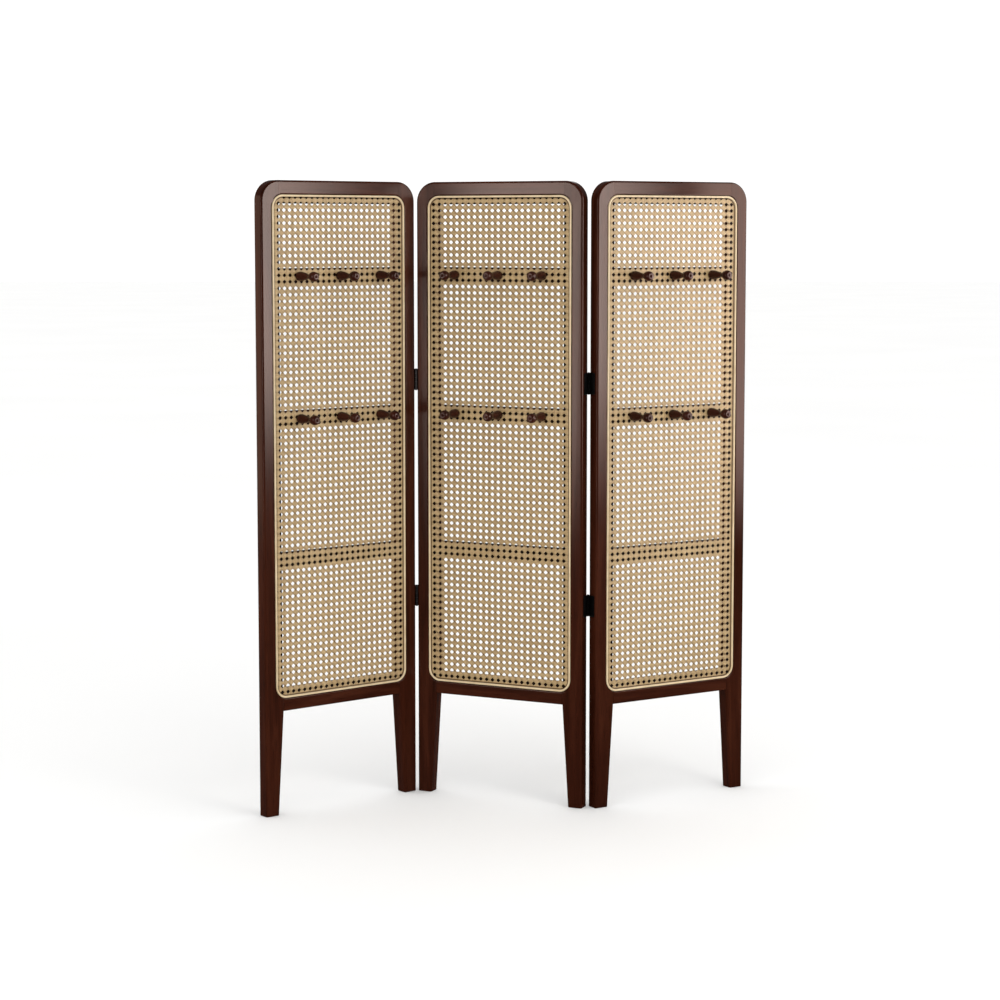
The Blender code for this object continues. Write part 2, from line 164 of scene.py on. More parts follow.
def panel_matrix(panel):
    """From a panel's own frame to the screen's.

    X runs along the panel from its middle, Y from the front face to the back, Z up.
    """
    feet = {m["name"]: Vector(m["pos_m"]) for m in frame["record"]["mounts"]}
    left = feet[f"{panel}_panel_left_foot"]
    right = feet[f"{panel}_panel_right_foot"]
    along = (right - left).normalized()
    depth = UP.cross(along)
    middle = (left + right) / 2
    turn = Matrix((along, depth, UP)).transposed().to_4x4()
    matrix = Matrix.Translation(middle) @ turn
    front = local_box(f"{panel}_left_stile", matrix)[0].y
    return matrix @ Matrix.Translation((0, front, 0))


def local_box(node, matrix):
    """A node's lowest and highest corners in the frame that the matrix carries to the screen's."""
    back = matrix.inverted()
    points = [back @ v.co for v in frame["nodes"][node].data.vertices]
    low = Vector([min(p[i] for p in points) for i in range(3)])
    high = Vector([max(p[i] for p in points) for i in range(3)])
    return low, high


MATRICES = {panel: panel_matrix(panel) for panel in PANELS}
STILE = local_box("middle_left_stile", MATRICES["middle"])
TOP_RAIL = local_box("middle_top_rail", MATRICES["middle"])
BOTTOM_RAIL = local_box("middle_bottom_rail", MATRICES["middle"])
BEAD = local_box("middle_cane_spline", MATRICES["middle"])
CANE = local_box("middle_cane_sheet", MATRICES["middle"])

HALF_WIDTH = -STILE[0].x
THICKNESS = STILE[1].y
HEIGHT = STILE[1].z
WINDOW_HALF = -STILE[1].x
SEAM = HALF_WIDTH - CORNER_RADIUS
WINDOW_LOW = BOTTOM_RAIL[1].z
WINDOW_HIGH = TOP_RAIL[0].z
LEG_HEIGHT = BOTTOM_RAIL[0].z
RABBET_HALF = BEAD[1].x + CLEARANCE
RABBET_LOW = BEAD[0].z - CLEARANCE
RABBET_HIGH = BEAD[1].z + CLEARANCE
RABBET_DEPTH = BEAD[1].y + CLEARANCE
BEAD_DEPTH = (BEAD[1].y + BEAD[0].y) / 2


def arc(centre, radius, start, end, steps):
    """Points along an arc, angles in degrees, both ends included."""
    angles = [math.radians(start + (end - start) * i / steps) for i in range(steps + 1)]
    return [(centre[0] + radius * math.cos(a), centre[1] + radius * math.sin(a)) for a in angles]


# ---- Materials -----------------------------------------------------------------------------

def new_material(name):
    """A node material, with its nodes, its links and its shader."""
    material = bpy.data.materials.new(name)
    material.use_nodes = True
    nodes = material.node_tree.nodes
    return material, nodes, material.node_tree.links, nodes["Principled BSDF"]


def read_attribute(nodes, name):
    """The outputs of a value that is kept on the mesh."""
    node = nodes.new("ShaderNodeAttribute")
    node.attribute_name = name
    return node


def stretched_noise(nodes, links, vector, stretch, scale, detail=4.0, distortion=0.0):
    """Noise on a vector that is first stretched, so that it makes streaks."""
    mapping = nodes.new("ShaderNodeMapping")
    mapping.inputs["Scale"].default_value = stretch
    links.new(vector, mapping.inputs["Vector"])
    noise = nodes.new("ShaderNodeTexNoise")
    noise.inputs["Scale"].default_value = scale
    noise.inputs["Detail"].default_value = detail
    noise.inputs["Distortion"].default_value = distortion
    links.new(mapping.outputs["Vector"], noise.inputs["Vector"])
    return noise.outputs["Fac"]


def ramp(nodes, links, value, stops):
    """A colour ramp from (place, colour) stops."""
    node = nodes.new("ShaderNodeValToRGB")
    node.color_ramp.elements[0].position = stops[0][0]
    node.color_ramp.elements[0].color = (*stops[0][1], 1.0)
    node.color_ramp.elements[1].position = stops[-1][0]
    node.color_ramp.elements[1].color = (*stops[-1][1], 1.0)
    for place, colour in stops[1:-1]:
        node.color_ramp.elements.new(place).color = (*colour, 1.0)
    links.new(value, node.inputs["Fac"])
    return node.outputs["Color"]


def spread(nodes, links, value, low, high, new_low, new_high):
    """Map a value from one range to another."""
    node = nodes.new("ShaderNodeMapRange")
    for name, number in (("From Min", low), ("From Max", high), ("To Min", new_low),
                         ("To Max", new_high)):
        node.inputs[name].default_value = number
    links.new(value, node.inputs["Value"])
    return node.outputs["Result"]


def mix_colour(nodes, links, share, first, second, blend="MIX"):
    """Mix two colours; each value may be a constant or another node's output."""
    node = nodes.new("ShaderNodeMix")
    node.data_type = "RGBA"
    node.blend_type = blend
    for socket, value in (("Factor", share), ("A", first), ("B", second)):
        target = next(s for s in node.inputs if s.name == socket and s.enabled)
        if hasattr(value, "links"):
            links.new(value, target)
        else:
            target.default_value = value
    return next(s for s in node.outputs if s.enabled)


def bump(nodes, links, shader, height, strength, distance):
    """Raise the shader's surface a little where the height is."""
    node = nodes.new("ShaderNodeBump")
    node.inputs["Strength"].default_value = strength
    node.inputs["Distance"].default_value = distance
    links.new(height, node.inputs["Height"])
    links.new(node.outputs["Normal"], shader.inputs["Normal"])


def lacquered_wood(name, dark, middle, light, roughness, gloss):
    """Stained wood under satin lacquer: figure and pores run along the grain."""
    material, nodes, links, shader = new_material(name)
    grain = read_attribute(nodes, "grain").outputs["Vector"]
    figure = stretched_noise(nodes, links, grain, (1, 1, 0.07), 42, 5, 0.6)
    tone = stretched_noise(nodes, links, grain, (1, 1, 0.16), 7, 2)
    pores = stretched_noise(nodes, links, grain, (1, 1, 0.03), 900, 2)
    colour = ramp(nodes, links, figure, ((0.30, dark), (0.52, middle), (0.75, light)))
    shade = ramp(nodes, links, tone, ((0.3, (0.80, 0.78, 0.76)), (0.7, (1.12, 1.10, 1.08))))
    colour = mix_colour(nodes, links, 1.0, colour, shade, "MULTIPLY")
    pore_mask = spread(nodes, links, pores, 0.56, 0.66, 0.0, 0.45)
    colour = mix_colour(nodes, links, pore_mask, colour, (*[c * 0.35 for c in dark], 1.0))
    links.new(colour, shader.inputs["Base Color"])
    links.new(spread(nodes, links, tone, 0.3, 0.7, roughness - 0.03, roughness + 0.05),
              shader.inputs["Roughness"])
    shader.inputs["Specular IOR Level"].default_value = gloss
    shader.inputs["Specular Tint"].default_value = LACQUER_TINT
    bump(nodes, links, shader, pores, 0.05, 0.0004)
    return material


def arithmetic(nodes, links, operation, first, second):
    """One sum on two values, each a constant or another node's output."""
    node = nodes.new("ShaderNodeMath")
    node.operation = operation
    for socket, value in zip(node.inputs, (first, second)):
        if hasattr(value, "links"):
            links.new(value, socket)
        else:
            socket.default_value = value
    return node.outputs[0]


def wrapped(nodes, links, value, offset):
    """Distance from a value, moved by the offset, to the nearest whole number."""
    moved = arithmetic(nodes, links, "ADD", value, offset)
    return arithmetic(nodes, links, "PINGPONG", moved, 0.5)


def paint_weave_shade(nodes, links, colour):
    """Paint shade into the weave's colour, standing in for shadow in its crevices: dark spots where
    the slanting strands cross between the upright pairs, dark lines along the falling strands, and a
    dark line inside the bead."""
    split = nodes.new("ShaderNodeSeparateXYZ")
    links.new(read_attribute(nodes, "weave").outputs["Vector"], split.inputs[0])
    across, up, depth = split.outputs["X"], split.outputs["Y"], split.outputs["Z"]
    beside = wrapped(nodes, links, across, 0.5)
    level = wrapped(nodes, links, up, 0.0)
    reach = arithmetic(nodes, links, "POWER",
                       arithmetic(nodes, links, "ADD",
                                  arithmetic(nodes, links, "MULTIPLY", beside, beside),
                                  arithmetic(nodes, links, "MULTIPLY", level, level)), 0.5)
    slant = wrapped(nodes, links, arithmetic(nodes, links, "ADD", across, up), 0.5)
    # Painted shade: dark spots at the crossings, then dark lines along the falling strands.
    for distance, reaches, share in ((reach, SPOT_RANGE, SPOT_SHADE),
                                     (slant, LINE_RANGE, LINE_SHADE)):
        shade = spread(nodes, links, distance, *reaches, share, 0.0)
        # depth is the share of this painted shade that is kept, less where wood backs the sheet.
        shade = arithmetic(nodes, links, "MULTIPLY", shade, depth)
        colour = mix_colour(nodes, links, shade, colour, CREVICE_SHADE)
    # Painted shade in a thin line inside the bead, by distance from the sheet's outline.
    edge = read_attribute(nodes, "edge").outputs["Fac"]
    bead_line_shade = spread(nodes, links, edge, *GROOVE_RANGE, GROOVE_SHADE, 0.0)
    return mix_colour(nodes, links, bead_line_shade, colour, CREVICE_SHADE)


def cane_material(name, dark, light, roughness, streak, paint_shade):
    """Peeled cane: a pale glossy bark with fibres along the strand, each strand its own tone; when asked, shade is
    painted into the weave's crevices as well.
    """
    material, nodes, links, shader = new_material(name)
    strand = read_attribute(nodes, "grain").outputs["Vector"]
    tone = read_attribute(nodes, "tone").outputs["Fac"]
    fibre = stretched_noise(nodes, links, strand, (1, 1, 0.02), streak, 3)
    patch = stretched_noise(nodes, links, strand, (1, 1, 1), 38, 2)
    colour = ramp(nodes, links, tone, ((0.0, dark), (1.0, light)))
    fibres = ramp(nodes, links, fibre, ((0.32, (0.84, 0.80, 0.72)), (0.68, (1.08, 1.08, 1.08))))
    colour = mix_colour(nodes, links, 1.0, colour, fibres, "MULTIPLY")
    patches = ramp(nodes, links, patch, ((0.3, (0.90, 0.86, 0.80)), (0.7, (1.05, 1.05, 1.05))))
    colour = mix_colour(nodes, links, 1.0, colour, patches, "MULTIPLY")
    # Painted shade in the weave's crevices.
    if paint_shade:
        colour = paint_weave_shade(nodes, links, colour)
    links.new(colour, shader.inputs["Base Color"])
    links.new(spread(nodes, links, patch, 0.3, 0.7, roughness - 0.06, roughness + 0.08),
              shader.inputs["Roughness"])
    shader.inputs["Specular IOR Level"].default_value = CANE_GLOSS
    bump(nodes, links, shader, fibre, 0.12, 0.0002)
    return material


def bare_shaded_wood():
    """Stained wood without lacquer, where the cane covers it, darkened far below the stain as painted shade for
    the hollow behind the cane.
    """
    material, nodes, links, shader = new_material("unlacquered_rabbet_painted_shade")
    grain = read_attribute(nodes, "grain").outputs["Vector"]
    figure = stretched_noise(nodes, links, grain, (1, 1, 0.07), 60, 4)
    # Near-black colour: painted shade behind the cane, not the stain's own colour.
    links.new(ramp(nodes, links, figure, ((0.3, (0.006, 0.0022, 0.0014)),
                                          (0.7, (0.013, 0.0048, 0.0028)))),
              shader.inputs["Base Color"])
    links.new(spread(nodes, links, figure, 0.3, 0.7, 0.75, 0.9), shader.inputs["Roughness"])
    shader.inputs["Specular IOR Level"].default_value = 0.08
    return material


def black_steel():
    """Blackened steel with a fine uneven finish."""
    material, nodes, links, shader = new_material("blackened_steel")
    place = nodes.new("ShaderNodeTexCoord").outputs["Object"]
    mottle = stretched_noise(nodes, links, place, (1, 1, 1), 160, 4)
    brushed = stretched_noise(nodes, links, place, (1, 1, 0.06), 1500, 2)
    links.new(ramp(nodes, links, mottle, ((0.3, (0.010, 0.009, 0.009)),
                                          (0.7, (0.026, 0.024, 0.023)))),
              shader.inputs["Base Color"])
    links.new(spread(nodes, links, mottle, 0.3, 0.7, 0.30, 0.46), shader.inputs["Roughness"])
    shader.inputs["Metallic"].default_value = 0.85
    bump(nodes, links, shader, brushed, 0.06, 0.0002)
    return material


def floor_material():
    """Matt white studio floor, a little uneven."""
    material, nodes, links, shader = new_material("studio_floor")
    place = nodes.new("ShaderNodeTexCoord").outputs["Object"]
    wash = stretched_noise(nodes, links, place, (1, 1, 1), 0.6, 2)
    links.new(ramp(nodes, links, wash, ((0.3, (0.95, 0.95, 0.945)), (0.7, (0.97, 0.97, 0.965)))),
              shader.inputs["Base Color"])
    shader.inputs["Roughness"].default_value = 0.9
    shader.inputs["Specular IOR Level"].default_value = 0.1
    return material


WOOD = lacquered_wood("dark_walnut_lacquer", (0.022, 0.0050, 0.0022), (0.038, 0.0086, 0.0038),
                      (0.058, 0.0150, 0.0066), 0.13, 0.14)
PEG_WOOD = lacquered_wood("turned_peg_lacquer", (0.016, 0.0036, 0.0020), (0.032, 0.0070, 0.0040),
                          (0.052, 0.0125, 0.0070), 0.18, 0.22)
BARE_SHADED_WOOD = bare_shaded_wood()
CANE_STRAND = cane_material("woven_cane", (0.44, 0.308, 0.152), (0.59, 0.432, 0.235), 0.42, 2600,
                            True)
BEAD_REED = cane_material("bead_reed", (0.68, 0.54, 0.34), (0.80, 0.66, 0.45), 0.36, 1400,
                          False)
STEEL = black_steel()


# ---- Modelling helpers ---------------------------------------------------------------------

def store(mesh, name, kind, values):
    """Keep one value for each vertex on the mesh."""
    attribute = mesh.attributes.new(name, kind, "POINT")
    attribute.data.foreach_set("vector" if kind == "FLOAT_VECTOR" else "value", values)


def with_even_shading(obj):
    """Apply weighted normals, so that wide flats stay flat beside their rounded edges."""
    obj.data.shade_smooth()
    obj.data.set_sharp_from_angle(angle=math.radians(SHARP_ANGLE))
    modifier = obj.modifiers.new("even", "WEIGHTED_NORMAL")
    modifier.keep_sharp = True
    bpy.context.view_layer.update()
    graph = bpy.context.evaluated_depsgraph_get()
    mesh = bpy.data.meshes.new_from_object(obj.evaluated_get(graph))
    obj.modifiers.clear()
    obj.data = mesh
    return obj


def finish_piece(bm, name, body, material, nodes, matrix, grain=None, even=True):
    """Make the bmesh, drawn in the frame of matrix, a piece that rides on its body."""
    mesh = bpy.data.meshes.new(name)
    bm.to_mesh(mesh)
    bm.free()
    if grain:
        store(mesh, "grain", "FLOAT_VECTOR", [c for v in mesh.vertices for c in grain(v.co)])
    mesh.transform(matrix)
    for finish in material if isinstance(material, tuple) else (material,):
        mesh.materials.append(finish)
    obj = bpy.data.objects.new(name, mesh)
    bpy.context.scene.collection.objects.link(obj)
    if even:
        with_even_shading(obj)
    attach(obj, body)
    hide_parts(*nodes)
    return obj


def grain_along(axis, seed):
    """Grain coordinates: two across the member and one along it, moved by the seed."""
    others = [i for i in range(3) if i != axis]
    pick = random.Random(seed)
    move = [pick.uniform(-5, 5) for _ in range(3)]
    return lambda co: (co[others[0]] + move[0], co[others[1]] + move[1], co[axis] + move[2])


def is_at(value, target):
    """True where a coordinate is at its target, but for rounding."""
    return abs(value - target) < NEARLY


# ---- Wooden members ------------------------------------------------------------------------

def member(front, seat):
    """A frame member from two outlines that share the rabbet's edge.

    front is the part that reaches the front face and seat is the part behind the cane.
    """
    bm = bmesh.new()
    shared = {}

    def corner(point):
        key = (round(point[0], 7), round(point[1], 7))
        if key not in shared:
            shared[key] = bm.verts.new((point[0], RABBET_DEPTH, point[1]))
        return shared[key]

    faces = [bm.faces.new([corner(p) for p in outline]) for outline in (front, seat)]
    swept = bmesh.ops.extrude_face_region(bm, geom=faces, use_keep_orig=True)
    back = [g for g in swept["geom"] if isinstance(g, bmesh.types.BMVert)]
    bmesh.ops.translate(bm, verts=back, vec=(0, THICKNESS - RABBET_DEPTH, 0))
    front_face = max((f for f in bm.faces if all(is_at(v.co.y, RABBET_DEPTH) for v in f.verts)),
                     key=lambda f: f.calc_area() if len(f.verts) == len(front) else 0)
    raised = bmesh.ops.extrude_face_region(bm, geom=[front_face])
    top = [g for g in raised["geom"] if isinstance(g, bmesh.types.BMVert)]
    bmesh.ops.translate(bm, verts=top, vec=(0, -RABBET_DEPTH, 0))
    bmesh.ops.delete(bm, geom=[front_face], context="FACES_ONLY")
    bmesh.ops.recalc_face_normals(bm, faces=list(bm.faces))
    return bm


def round_edges(bm, radius, steps, chosen):
    """Round the edges that chosen picks from their two ends."""
    edges = [e for e in bm.edges if chosen(e.verts[0].co, e.verts[1].co)]
    bmesh.ops.bevel(bm, geom=edges, offset=radius, segments=steps, profile=0.5,
                    affect="EDGES", material=-1)


def on_faces(a, b):
    """True for an edge that lies in the front or the back face."""
    return is_at(a.y, b.y) and (is_at(a.y, 0.0) or is_at(a.y, THICKNESS))


def on_path(path, depth):
    """A test for edges that run along the path, a list of (x, z), at this depth."""
    places = {(round(x, 6), round(z, 6)) for x, z in path}

    def along(a, b):
        return all(is_at(p.y, depth) and (round(p.x, 6), round(p.z, 6)) in places for p in (a, b))

    return along


def rabbet_angle(until):
    """How far round the rabbet's left corner, from its side, x is until; in degrees."""
    return math.degrees(math.acos((-RABBET_HALF + RABBET_CORNER - until) / RABBET_CORNER))


def rabbet_arc(top, start, end):
    """The rabbet's corner at the top or bottom left between two angles from its side."""
    height = RABBET_HIGH - RABBET_CORNER if top else RABBET_LOW + RABBET_CORNER
    turn = -1 if top else 1
    return arc((-RABBET_HALF + RABBET_CORNER, height), RABBET_CORNER, 180 + turn * start,
               180 + turn * end, RABBET_STEPS)


def stile():
    """The left stile and leg: straight outside, round top corner, tapered leg."""
    bottom = rabbet_arc(False, 0, rabbet_angle(-WINDOW_HALF))
    path = list(reversed(bottom)) + rabbet_arc(True, 0, rabbet_angle(-SEAM))
    corner = arc((-SEAM, HEIGHT - CORNER_RADIUS), CORNER_RADIUS, 90, 180, CORNER_STEPS)
    foot_inner = (-HALF_WIDTH + FOOT_WIDTH, 0.0)
    front = path + corner + [(-HALF_WIDTH, 0.0), foot_inner, (-WINDOW_HALF, LEG_HEIGHT)]
    seat = list(reversed(path)) + [(-WINDOW_HALF, WINDOW_HIGH), (-SEAM, WINDOW_HIGH)]
    bm = member(front, seat)
    exposed = corner + front[-3:]
    exposed_sides = [on_path(exposed, depth) for depth in (0.0, THICKNESS)]

    def outside(a, b):
        return any(side(a, b) for side in exposed_sides) and max(a.z, b.z) > 0

    def foot(a, b):
        return is_at(a.z, 0.0) and is_at(b.z, 0.0)

    def window(a, b):
        behind = all(is_at(p.x, -WINDOW_HALF) and is_at(p.y, THICKNESS) for p in (a, b))
        return behind and min(a.z, b.z) > LEG_HEIGHT + LEG_MARGIN

    round_edges(bm, ROUNDOVER, ROUNDOVER_STEPS, outside)
    round_edges(bm, RABBET_ROUNDOVER, RABBET_ROUNDOVER_STEPS, on_path(path, 0.0))
    round_edges(bm, WINDOW_EASE, EASE_STEPS, window)
    round_edges(bm, FOOT_EASE, EASE_STEPS, foot)
    return bm


def rail(top):
    """The top or the bottom rail between the stiles."""
    half = (SEAM if top else WINDOW_HALF) - CLEARANCE
    corner = rabbet_arc(top, rabbet_angle(-half), 90)
    path = corner + [(-x, z) for x, z in reversed(corner)]
    edge = HEIGHT if top else LEG_HEIGHT
    lip = WINDOW_HIGH if top else WINDOW_LOW
    front = path + [(half, edge), (-half, edge)]
    seat = list(reversed(path)) + [(-half, lip), (half, lip)]
    bm = member(front, seat)

    def outside(a, b):
        return on_faces(a, b) and is_at(a.z, edge) and is_at(b.z, edge)

    def window(a, b):
        return all(is_at(p.z, lip) and is_at(p.y, THICKNESS) for p in (a, b))

    round_edges(bm, ROUNDOVER, ROUNDOVER_STEPS, outside)
    round_edges(bm, RABBET_ROUNDOVER, RABBET_ROUNDOVER_STEPS, on_path(path, 0.0))
    round_edges(bm, WINDOW_EASE, EASE_STEPS, window)
    return bm


def mirrored(bm):
    """The same piece for the panel's other side."""
    bmesh.ops.scale(bm, vec=(-1, 1, 1), verts=bm.verts)
    bmesh.ops.reverse_faces(bm, faces=bm.faces)
    return bm


def cross_rail(low, high):
    """A plain rail behind the cane with eased edges."""
    bm = bmesh.new()
    bmesh.ops.create_cube(bm, size=1)
    bmesh.ops.scale(bm, vec=high - low, verts=bm.verts)
    bmesh.ops.translate(bm, vec=(low + high) / 2, verts=bm.verts)
    bmesh.ops.bevel(bm, geom=[e for e in bm.edges if abs(e.verts[0].co.x - e.verts[1].co.x) > 0.1],
                    offset=CROSS_RAIL_EASE, segments=CROSS_RAIL_STEPS, profile=0.5,
                    affect="EDGES", material=-1)
    return bm


def leave_bare_in_shade(bm):
    """The faces behind the cane take the second material, the matt one darkened with painted shade."""
    for face in bm.faces:
        behind = all(is_at(v.co.y, RABBET_DEPTH) for v in face.verts)
        if behind and face.normal.y < -0.9:
            face.material_index = 1


def frame_members(panel):
    """The stiles and rails of one panel."""
    matrix, body = MATRICES[panel], f"{panel}_panel"
    parts = {"left_stile": (stile(), 2), "right_stile": (mirrored(stile()), 2),
             "top_rail": (rail(True), 0), "bottom_rail": (rail(False), 0)}
    for name in ("upper_peg_rail", "lower_peg_rail", "plain_cross_rail"):
        parts[name] = (cross_rail(*local_box(f"{panel}_{name}", matrix)), 0)
    for name, (bm, axis) in parts.items():
        node = f"{panel}_{name}"
        bm.normal_update()
        leave_bare_in_shade(bm)
        finish_piece(bm, f"{node}_finished", body, (WOOD, BARE_SHADED_WOOD), [node],
                     matrix, grain_along(axis, node))


# ---- Cane ----------------------------------------------------------------------------------

SHEET_HALF = RABBET_HALF - CLEARANCE - BEAD_RADIUS
SHEET_LOW = RABBET_LOW + CLEARANCE + BEAD_RADIUS
SHEET_HIGH = RABBET_HIGH - CLEARANCE - BEAD_RADIUS
SHEET_CORNER = RABBET_CORNER - CLEARANCE - BEAD_RADIUS
SHEET_DEPTH = (CANE[0].y + CANE[1].y) / 2


def inside_sheet(x, z):
    """True inside the cane's round-cornered outline."""
    if abs(x) > SHEET_HALF or not SHEET_LOW < z < SHEET_HIGH:
        return False
    dx = abs(x) - (SHEET_HALF - SHEET_CORNER)
    dz = max(SHEET_LOW + SHEET_CORNER - z, z - (SHEET_HIGH - SHEET_CORNER))
    return dx <= 0 or dz <= 0 or math.hypot(dx, dz) <= SHEET_CORNER


def edge_between(inner, outer):
    """The point on the outline between a point inside it and one outside."""
    for _ in range(22):
        middle = [(a + b) / 2 for a, b in zip(inner, outer)]
        if inside_sheet(middle[0], middle[1]):
            inner = middle
        else:
            outer = middle
    return inner


def clipped(stops):
    """The run of (x, z, lift) stops inside the outline, with its ends on the outline."""
    found = [i for i, stop in enumerate(stops) if inside_sheet(stop[0], stop[1])]
    if not found:
        return []
    first, last = found[0], found[-1]
    run = [tuple(stop) for stop in stops[first:last + 1]]
    if first > 0:
        run.insert(0, tuple(edge_between(stops[first], stops[first - 1])))
    if last < len(stops) - 1:
        run.append(tuple(edge_between(stops[last], stops[last + 1])))
    return run


def edge_distance(x, z):
    """How far a point of the sheet lies inside its outline."""
    dx = abs(x) - (SHEET_HALF - SHEET_CORNER)
    dz = max(SHEET_LOW + SHEET_CORNER - z, z - (SHEET_HIGH - SHEET_CORNER))
    return SHEET_CORNER - (math.hypot(max(dx, 0), max(dz, 0)) + min(max(dx, dz), 0))


def strand(run):
    """One strand: a crowned ribbon that follows its stops over and under the others."""
    bm = bmesh.new()
    bmesh.ops.create_cube(bm, size=1)
    count = len(run)
    lengthwise = [e for e in bm.edges if abs(e.verts[0].co.z - e.verts[1].co.z) > 0.5]
    if count > 2:
        bmesh.ops.subdivide_edges(bm, edges=lengthwise, cuts=count - 2, use_grid_fill=True)
    start, end = Vector(run[0][:2]), Vector(run[-1][:2])
    along = (end - start).normalized()
    across = Vector((along.y, -along.x))
    for vert in bm.verts:
        x, z, lift = run[round((vert.co.z + 0.5) * (count - 1))]
        side = vert.co.x * STRAND_WIDTH * (STRAND_CROWN if vert.co.y < 0 else 1.0)
        depth = SHEET_DEPTH + lift + vert.co.y * STRAND_THICKNESS
        vert.co = (x + across.x * side, depth, z + across.y * side)
    return bm


def hole_place(column, row, shift):
    """(x, z) of a hole's middle, or of a point between holes."""
    x = (column - (HOLES_ACROSS - 1) / 2) * HOLE_PITCH_ACROSS + shift
    return x, LOWEST_HOLE + row * HOLE_PITCH_UP


def upright_strands(shift):
    """Pairs of upright strands between the columns of holes."""
    for column in range(-1, HOLES_ACROSS):
        for side in (-1, 1):
            stops = []
            for row in range(-2, HOLES_UP + 1):
                for step in (-1, 1):
                    x, z = hole_place(column + 0.5 + side * PAIR_OFFSET,
                                      row + 0.5 + step * PAIR_OFFSET, shift)
                    stops.append((x, z, PLAIN_LIFT * side * step))
            yield stops


def level_strands(shift):
    """Pairs of level strands between the rows of holes."""
    for row in range(-1, HOLES_UP):
        for side in (-1, 1):
            stops = []
            for column in range(-2, HOLES_ACROSS + 1):
                for step in (-1, 1):
                    x, z = hole_place(column + 0.5 + step * PAIR_OFFSET,
                                      row + 0.5 + side * PAIR_OFFSET, shift)
                    stops.append((x, z, -PLAIN_LIFT * side * step))
            yield stops


def diagonal_strands(shift, rise):
    """Slanting strands: rise is 1 where they climb to the right and -1 where they fall."""
    for start in range(-HOLES_UP - 2, HOLES_UP + HOLES_ACROSS + 2):
        stops = []
        for half in range(-4, 2 * HOLES_ACROSS + 4):
            column = half / 2
            row = rise * (column - start - 0.5)
            x, z = hole_place(column, row, shift)
            over = (half % 2 == 0) == (rise > 0)
            stops.append((x, z, -DIAGONAL_LIFT if over else DIAGONAL_LIFT))
        yield stops


CROSS_RAILS = [local_box(f"middle_{name}", MATRICES["middle"])
               for name in ("upper_peg_rail", "lower_peg_rail", "plain_cross_rail")]


def open_behind(x, z):
    """The share of the painted weave shade kept: 1 where the sheet hangs free and less where wood backs it."""
    backed = abs(x) > WINDOW_HALF or not WINDOW_LOW < z < WINDOW_HIGH
    if backed or any(low.z < z < high.z for low, high in CROSS_RAILS):
        return BACKED_SHADE
    return 1.0


def woven_piece(name, panel, runs):
    """All strands that run one way, as one piece."""
    shift = SHEET_SHIFT[panel]
    whole = bmesh.new()
    grain, tones, weave, edges = [], [], [], []
    pick = random.Random(name)
    for run in runs:
        if len(run) < 2:
            continue
        bm = strand(run)
        along = (Vector(run[-1][:2]) - Vector(run[0][:2])).normalized()
        seed, tone = pick.uniform(-40, 40), pick.random()
        for v in bm.verts:
            place = Vector((v.co.x, v.co.z))
            grain += [place.dot(Vector((along.y, -along.x))), v.co.y + seed, place.dot(along)]
            tones.append(tone)
            # weave carries the lattice place and the share of painted shade kept; edge carries the distance that
            # places the painted line of shade inside the bead.
            weave += [(v.co.x - shift) / HOLE_PITCH_ACROSS + (HOLES_ACROSS - 1) / 2,
                      (v.co.z - LOWEST_HOLE) / HOLE_PITCH_UP, open_behind(v.co.x, v.co.z)]
            edges.append(edge_distance(v.co.x, v.co.z))
        mesh = bpy.data.meshes.new("strand")
        bm.to_mesh(mesh)
        bm.free()
        whole.from_mesh(mesh)
        bpy.data.meshes.remove(mesh)
    bmesh.ops.recalc_face_normals(whole, faces=list(whole.faces))
    mesh = bpy.data.meshes.new(name)
    whole.to_mesh(mesh)
    whole.free()
    store(mesh, "grain", "FLOAT_VECTOR", grain)
    store(mesh, "tone", "FLOAT", tones)
    store(mesh, "weave", "FLOAT_VECTOR", weave)
    store(mesh, "edge", "FLOAT", edges)
    mesh.shade_smooth()
    mesh.transform(MATRICES[panel])
    mesh.materials.append(CANE_STRAND)
    obj = bpy.data.objects.new(name, mesh)
    bpy.context.scene.collection.objects.link(obj)
    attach(obj, f"{panel}_panel")
    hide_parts(f"{panel}_cane_sheet")


def cane_sheet(panel):
    """The strands of one panel's cane, one piece for each way they run."""
    shift = SHEET_SHIFT[panel]
    for name, strands in (("uprights", upright_strands(shift)),
                          ("levels", level_strands(shift)),
                          ("rising_diagonals", diagonal_strands(shift, 1)),
                          ("falling_diagonals", diagonal_strands(shift, -1))):
        woven_piece(f"{panel}_cane_{name}", panel, map(clipped, strands))


# ---- Bead round the cane -------------------------------------------------------------------

